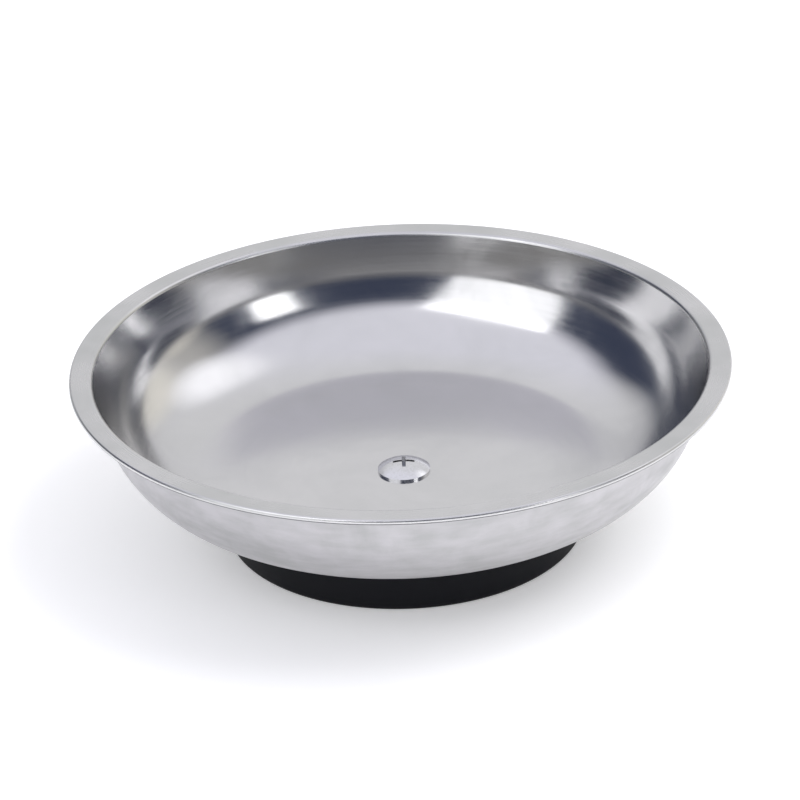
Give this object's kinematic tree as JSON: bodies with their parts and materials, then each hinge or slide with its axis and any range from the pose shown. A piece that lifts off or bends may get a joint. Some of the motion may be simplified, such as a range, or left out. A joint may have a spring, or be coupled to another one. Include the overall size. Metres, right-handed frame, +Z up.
{
  "type": "magnetic parts tray",
  "caption": "Round stainless dish with a flat rolled lip on a rubber-booted ring magnet, holding small steel parts while they are sorted or fitted.",
  "frame": {"origin": "centre of the foot's resting face", "axes": "+Z up, out of the dish's mouth; X and Y lie in the resting face, and either may face the front, because the tray is round"},
  "size_m": [0.15, 0.15, 0.0414],
  "materials": {
    "stainless_sheet": "satin",
    "bright_fastener": "polished",
    "black_foam": "matte",
    "ferrite": "satin",
    "zinc_plated_steel": "satin",
    "black_rubber": "satin"
  },
  "bodies": {
    "root": {"dish": "stainless_sheet", "centre_screw": "bright_fastener", "foam_pad": "black_foam", "magnet_ring": "ferrite", "keeper_plate": "zinc_plated_steel", "flat_washer": "zinc_plated_steel", "spring_washer": "zinc_plated_steel", "hex_nut": "zinc_plated_steel", "rubber_boot": "black_rubber"}
  },
  "joints": []
}
